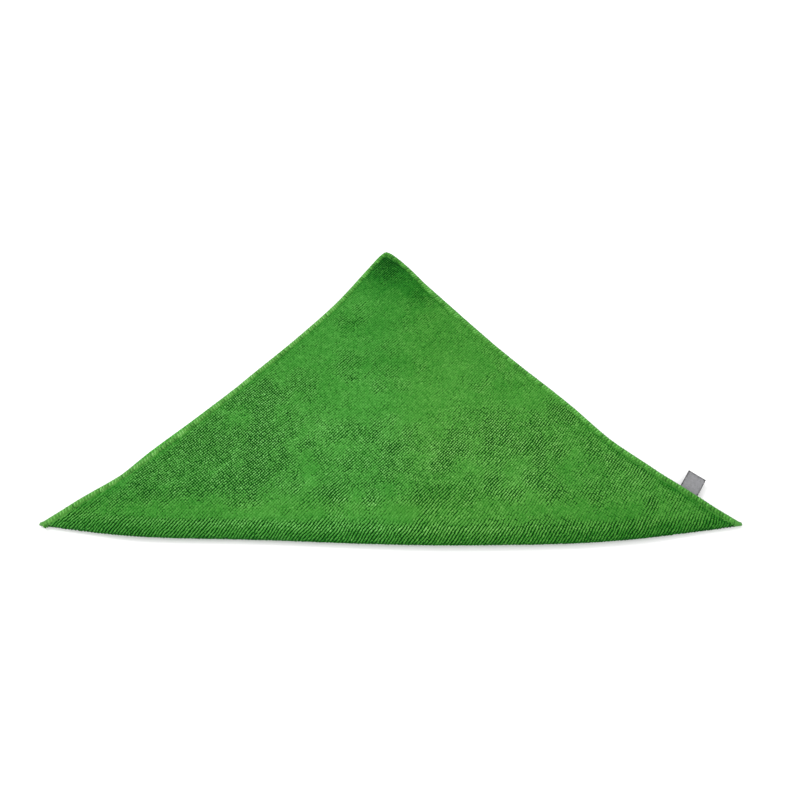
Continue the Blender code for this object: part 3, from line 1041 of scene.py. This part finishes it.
def make_label(finish, shift):
    """A ribbon folded double: it leaves the hem, turns at its far end and comes back."""
    path, reach = label_path()
    across = np.linspace(-1, 1, ACROSS_POINTS)
    points = np.concatenate([label_face(path, across, face) for face in (1, -1)])
    piece = add_piece("label_ribbon", points, label_faces(len(path), len(across)), finish, shift)
    length = np.append(0, np.cumsum(np.linalg.norm(np.diff(path, axis=0), axis=1)))
    flat = np.stack(np.broadcast_arrays(across[None, :] * LABEL_WIDTH / 2, length[:, None]), -1)
    flat = flat.reshape(-1, 2)
    add_map(piece, np.concatenate([flat, flat + (LABEL_WIDTH * MAP_STEP, 0)]))
    from_end = (reach - path[:, 0]) / (LABEL_WIDTH / 2)
    near_edge = np.maximum(np.abs(across)[None, :], 1 - from_end[:, None].clip(0, 1))
    add_values(piece, "near_edge", np.tile(near_edge.ravel(), 2))
    return piece


# Finishes


class Finish:
    """A Principled material and short ways to add nodes to it."""

    def __init__(self, name, roughness, sheen=0.0):
        self.material = bpy.data.materials.new(name)
        self.material.use_nodes = True
        self.nodes = self.material.node_tree.nodes
        self.shader = self.nodes["Principled BSDF"]
        self.shader.inputs["Roughness"].default_value = roughness
        self.shader.inputs["Sheen Weight"].default_value = sheen
        self.shader.inputs["Specular IOR Level"].default_value = SPECULAR
        self.place = self.nodes.new("ShaderNodeTexCoord").outputs["Object"]

    def link(self, out, into):
        self.material.node_tree.links.new(out, into)

    def noise(self, size, detail=2.0):
        node = self.nodes.new("ShaderNodeTexNoise")
        node.inputs["Scale"].default_value = 1 / size
        node.inputs["Detail"].default_value = detail
        self.link(self.place, node.inputs["Vector"])
        return node.outputs["Fac"]

    def value(self, name):
        node = self.nodes.new("ShaderNodeAttribute")
        node.attribute_name = name
        return node.outputs["Fac"]

    def math(self, operation, first, second):
        node = self.nodes.new("ShaderNodeMath")
        node.operation = operation
        for i, given in enumerate((first, second)):
            if isinstance(given, (int, float)):
                node.inputs[i].default_value = given
            else:
                self.link(given, node.inputs[i])
        return node.outputs[0]

    def ramp(self, value, stops):
        node = self.nodes.new("ShaderNodeValToRGB")
        ramp = node.color_ramp
        while len(ramp.elements) < len(stops):
            ramp.elements.new(0.5)
        for element, (position, colour) in zip(ramp.elements, stops):
            element.position = position
            element.color = (*colour, 1.0)
        self.link(value, node.inputs["Fac"])
        return node.outputs["Color"]

    def tinted(self, colour, share, tint):
        node = self.nodes.new("ShaderNodeMix")
        node.data_type = "RGBA"
        node.blend_type = "MULTIPLY"
        self.link(share, node.inputs["Factor"])
        self.link(colour, node.inputs["A"])
        node.inputs["B"].default_value = (*tint, 1.0)
        return node.outputs["Result"]

    def colour(self, out):
        self.link(out, self.shader.inputs["Base Color"])

    def bump(self, height, distance):
        node = self.nodes.new("ShaderNodeBump")
        node.inputs["Distance"].default_value = distance
        node.inputs["Strength"].default_value = 1.0
        self.link(height, node.inputs["Height"])
        self.link(node.outputs["Normal"], self.shader.inputs["Normal"])


def scaled(colour, share):
    return tuple(c * share for c in colour)


def loops_finish():
    """Microfibre loops: the tone comes with each loop, fine fibres vary it."""
    finish = Finish("terry_loops", roughness=0.92, sheen=0.04)
    fibres = finish.math("MULTIPLY", finish.math("SUBTRACT", finish.noise(0.0005), 0.5), 0.9)
    tone = finish.math("ADD", finish.value("tone"), fibres)
    finish.colour(finish.tinted(finish.ramp(tone, PILE_TONES), finish.value("warm"), PILE_WARM))
    finish.bump(finish.noise(0.00022, detail=3.0), distance=0.00012)
    return finish.material


def ground_finish():
    finish = Finish("terry_ground", roughness=0.95)
    # the ground's green with painted shade of the gaps between loops
    stops = ((0.3, scaled(GROUND_GREEN_AND_GAP_SHADE, 0.7)), (0.7, scaled(GROUND_GREEN_AND_GAP_SHADE, 1.4)))
    finish.colour(finish.ramp(finish.noise(0.0012), stops))
    finish.bump(finish.noise(0.0008, detail=3.0), distance=0.0003)
    return finish.material


def hem_finish():
    finish = Finish("hem_knit", roughness=0.85, sheen=0.2)
    stops = ((0.25, scaled(HEM_GREEN, 0.75)), (0.75, scaled(HEM_GREEN, 1.15)))
    colour = finish.ramp(finish.noise(0.0010, detail=3.0), stops)
    # the upper hem's knit is tinted paler by painted sheen
    finish.colour(finish.tinted(colour, finish.value("painted_sheen"), PAINTED_SHEEN_TINT))
    finish.bump(finish.noise(0.0005, detail=3.0), distance=0.0002)
    return finish.material


def thread_finish():
    finish = Finish("hem_thread", roughness=0.70)
    colour = finish.ramp(finish.value("tone"), THREAD_TONES)
    # the upper hem's thread is tinted paler by painted sheen
    finish.colour(finish.tinted(colour, finish.value("painted_sheen"), PAINTED_SHEEN_TINT))
    finish.bump(finish.noise(0.0002), distance=0.00008)
    return finish.material


def satin_finish():
    finish = Finish("grey_satin", roughness=0.42, sheen=0.3)
    # Dark border round the ribbon: partly its woven selvedge, partly painted shade on its edges and
    # its fold
    selvedge_and_shade = finish.math("POWER", finish.value("near_edge"), SELVEDGE_AND_SHADE_POWER)
    dark = finish.math("MULTIPLY", selvedge_and_shade, SELVEDGE_AND_SHADE_DARK)
    tone = finish.math("SUBTRACT", finish.noise(0.0015), dark)
    stops = ((0.0, 0.1), (0.3, 0.8), (0.8, 1.1))
    stops = [(place, scaled(LABEL_GREY, share)) for place, share in stops]
    finish.colour(finish.ramp(tone, stops))
    finish.bump(finish.noise(0.00025), distance=0.00006)
    return finish.material


def floor_finish():
    finish = Finish("floor_white", roughness=0.9)
    finish.shader.inputs["Base Color"].default_value = (*FLOOR_WHITE, 1.0)
    return finish.material


# Floor, light and camera


def add_floor():
    bpy.ops.mesh.primitive_plane_add(size=FLOOR_SIZE, location=(0, 0, -FLOOR_DROP))
    floor = bpy.context.object
    floor.name = "floor"
    floor.data.materials.append(floor_finish())


def add_light(name, place, aim, size, power):
    data = bpy.data.lights.new(name, "AREA")
    data.shape = "DISK"
    data.size = size
    data.energy = power
    light = bpy.data.objects.new(name, data)
    light.location = place
    light.rotation_euler = (Vector(aim) - Vector(place)).to_track_quat("-Z", "Y").to_euler()
    bpy.context.scene.collection.objects.link(light)


def add_world():
    world = bpy.data.worlds.new("studio")
    world.use_nodes = True
    back = world.node_tree.nodes["Background"]
    back.inputs["Color"].default_value = (1.0, 1.0, 1.0, 1.0)
    back.inputs["Strength"].default_value = WORLD_STRENGTH
    bpy.context.scene.world = world


def add_camera():
    data = bpy.data.cameras.new("camera")
    data.lens = LENS
    data.sensor_width = SENSOR
    camera = bpy.data.objects.new("camera", data)
    camera.location = CAMERA_PLACE
    camera.rotation_euler = (CAMERA_TILT, 0.0, 0.0)
    bpy.context.scene.collection.objects.link(camera)
    bpy.context.scene.camera = camera


def main():
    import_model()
    bpy.context.scene.view_settings.view_transform = "Standard"

    shape = Shape()
    nose = fold_line(shape.x)[0].min()
    shift = np.array((0.0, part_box("cloth")[0].y - nose, 0.0))
    finishes = {"ground": ground_finish(), "hem": hem_finish()}
    thread = thread_finish()
    terry = loops_finish()

    ground = make_ground(shape, finishes, shift)
    rng = np.random.default_rng(SEED)
    places = loop_places(rng)
    pile = []
    for name, upper, cuts in (("pile_upper", True, UPPER_CUTS), ("pile_under", False, UNDER_CUTS)):
        pile += make_pile(name, Loops(shape, places, upper, rng), cuts, terry, shift)
    hems = [
        make_hem("hem_upper", shape, 1, thread, shift, rng),
        make_hem("hem_lower", shape, 0, thread, shift, rng),
    ]
    label = make_label(satin_finish(), shift)

    for piece in (ground, *pile, *hems):
        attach(piece, "root")
    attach(label, "root")
    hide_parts("cloth")
    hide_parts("label")

    add_floor()

    add_world()
    add_light("key", place=(-0.9, 1.1, 1.3), aim=(0, 0, 0), size=0.8, power=20)
    add_camera()


main()
